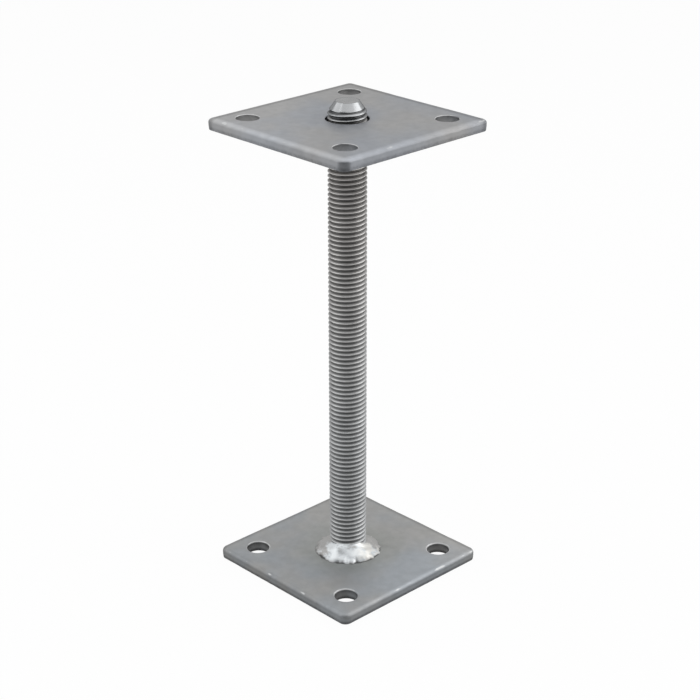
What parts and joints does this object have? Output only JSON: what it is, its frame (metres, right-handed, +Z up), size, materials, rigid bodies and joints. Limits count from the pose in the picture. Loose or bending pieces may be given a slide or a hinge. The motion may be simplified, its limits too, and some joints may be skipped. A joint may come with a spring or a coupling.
{
  "type": "adjustable post base",
  "caption": "Post base with a square foundation plate, a threaded rod welded upright on it and a square head plate for a post, set to height by a thin nut on the rod.",
  "frame": {"origin": "centre of the base plate's underside, on the foundation", "axes": "+Z up along the rod, towards the head plate; X and Y along the plates' sides"},
  "size_m": [0.1, 0.1, 0.259],
  "materials": {
    "galvanised_base_plate": "hot-dip galvanised, dull grey with faint cloudy patches",
    "galvanised_head_plate": "hot-dip galvanised, dull grey with faint cloudy patches",
    "galvanised_thread": "zinc coated thread, satin",
    "weld_metal": "bright zinc spray over a lumpy weld",
    "galvanised_nut": "zinc coated, satin"
  },
  "bodies": {
    "base": {"base_plate": "galvanised_base_plate", "threaded_rod": "galvanised_thread", "weld_bead": "weld_metal"},
    "head": {"head_plate": "galvanised_head_plate"},
    "nut": {"height_nut": "galvanised_nut"}
  },
  "joints": [
    {"name": "head_slide", "type": "slide", "parent": "base", "child": "head", "axis": [0, 0, 1], "range_m": [-0.2175, 0.008]},
    {"name": "nut_turn", "type": "hinge", "parent": "head", "child": "nut", "pos_m": [0, 0, 0.239], "axis": [0, 0, 1], "range_deg": [-31330, 1160]}
  ],
  "couplings": [
    {"joint": "nut_turn", "follows": "head_slide", "rad_per_m": 2513.3}
  ]
}
